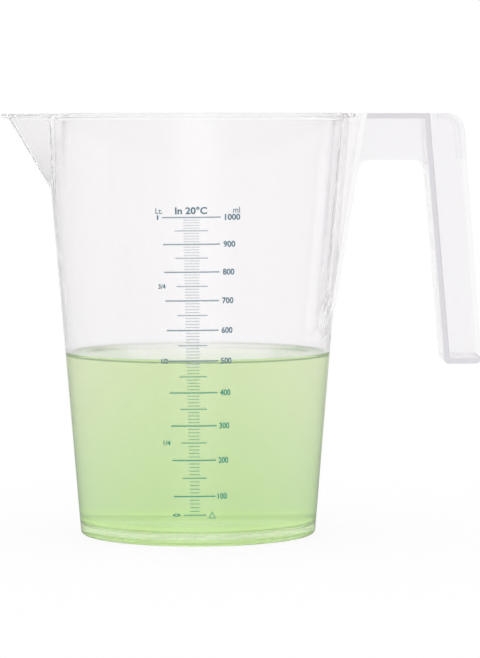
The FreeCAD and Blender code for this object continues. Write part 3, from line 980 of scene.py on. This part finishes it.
def dyed_water():
    """Water with a green dye, with painted shade that makes it greener towards the foot and painted light
    that makes it white just over the floor.
    """
    material = bpy.data.materials.new("green_dyed_water")
    tree, output = fresh_tree(material)
    place = add_node(tree, "ShaderNodeTexCoord").outputs["Object"]
    # Painted shade: the colour is greener towards the foot. Painted light: it is white just over the floor.
    painted_shade_fade = height_ramp(tree, place, painted_shade_full, painted_shade_end)
    over_floor = height_ramp(tree, place, floor_clear_low, floor_clear_high, (1.0, 0.0))
    tone = blend(tree, combined(tree, "MAXIMUM", painted_shade_fade, over_floor), painted_shade_green, (1, 1, 1, 1))
    clear = {"Roughness": 0.0, "IOR": 1.33, "Transmission Weight": 1.0}
    water = add_node(tree, "ShaderNodeBsdfPrincipled", clear)
    dye = add_node(
        tree, "ShaderNodeVolumeAbsorption", {"Color": liquid_loss_tint, "Density": liquid_loss}
    )
    tree.links.new(tone, water.inputs["Base Color"])
    tree.links.new(water.outputs[0], output.inputs["Surface"])
    tree.links.new(dye.outputs[0], output.inputs["Volume"])
    return material


liquid_mesh = turned_mesh(
    "green_liquid",
    round_points(liquid_profile(), 360),
    (0, 0, floor_edge + floor_dome - wetting),
    (0, 0, liquid_level),
)
show("green_liquid", liquid_mesh, dyed_water())

# ---------------------------------------------------------------------------
# The liquid's edge: where its surface curls up the front of the wall it throws the light back,
# which shows as a thin dark green line. A film inside the wall paints that line in as shade.
# ---------------------------------------------------------------------------

edge_low = liquid_level - 0.35
edge_high = liquid_level + 0.30
edge_depth = 0.25
edge_reach = math.radians(84)
edge_fade = 8
strip_thickness = 0.08
painted_line_green = (0.02, 0.50, 0.01, 1)


def strip_mesh(name, angle, radius, low, high):
    """A thin standing strip inside the wall, between its low and high edge, along angles from the front.

    An arc is closed by a face at each end, and a full turn by joining its ends.
    """
    rings = []
    for inset, height in ((0, low), (strip_thickness, low), (strip_thickness, high), (0, high)):
        place = radius(height) - inset
        rings.append(np.stack([place * np.sin(angle), -place * np.cos(angle), height], -1))
    points = np.stack(rings, 1)
    corner = np.arange(len(angle))[:, None] * 4 + np.arange(4)[None, :]
    after = np.roll(corner, -1, axis=1)
    faces = np.stack([corner[:-1], after[:-1], after[1:], corner[1:]], -1).reshape(-1, 4).tolist()
    if abs(angle[-1] - angle[0]) > 2 * math.pi - 0.1:
        faces += np.stack([corner[-1], after[-1], after[0], corner[0]], -1).tolist()
    else:
        faces += [corner[0][::-1].tolist(), corner[-1].tolist()]
    mesh = bpy.data.meshes.new(name)
    mesh.from_pydata((points.reshape(-1, 3) * mm).tolist(), [], faces)
    return mesh


def strip_film(name, strength):
    """A painted line of shade in the liquid's green: a film that covers a given share of what lies behind
    it.
    """
    film = bpy.data.materials.new(name)
    tree, output = fresh_tree(film)
    shine = add_node(
        tree,
        "ShaderNodeBsdfPrincipled",
        {"Base Color": painted_line_green, "Roughness": 0.6, "IOR": 1.33, "Alpha": strength},
    )
    tree.links.new(shine.outputs[0], output.inputs["Surface"])
    return film


# The strip gets narrower towards both ends.
edge_share = np.linspace(-1, 1, 181)
edge_bottom = np.full_like(edge_share, edge_low)
edge_rise = (edge_high - edge_low) * np.clip((1 - np.abs(edge_share)) * edge_fade, 0.05, 1)
# A painted line of shade: a thin green film inside the wall at the liquid's edge.
edge_mesh = strip_mesh(
    "painted_liquid_edge",
    edge_share * edge_reach,
    lambda height: cup_radius(height) - wall - edge_depth,
    edge_bottom,
    edge_bottom + edge_rise,
)
show("painted_liquid_edge", edge_mesh, strip_film("painted_edge_shade", 0.33))

# ---------------------------------------------------------------------------
# The liquid's foot line: along the edge of the floor the liquid thins out to nothing,
# which shows as a second, fainter line. A film there paints that line in as shade.
# ---------------------------------------------------------------------------

# A painted line of shade: a faint green film round the edge of the floor.
foot_line_low = floor_edge + 0.6
foot_line_high = floor_edge + 1.4
foot_line_radius = corner_centre[0] + 0.3
foot_turn = np.linspace(-math.pi, math.pi, 241)[:-1]
foot_mesh = strip_mesh(
    "painted_liquid_foot_line",
    foot_turn,
    lambda height: np.full_like(height, foot_line_radius),
    np.full_like(foot_turn, foot_line_low),
    np.full_like(foot_turn, foot_line_high),
)
show("painted_liquid_foot_line", foot_mesh, strip_film("painted_foot_shade", 0.11))
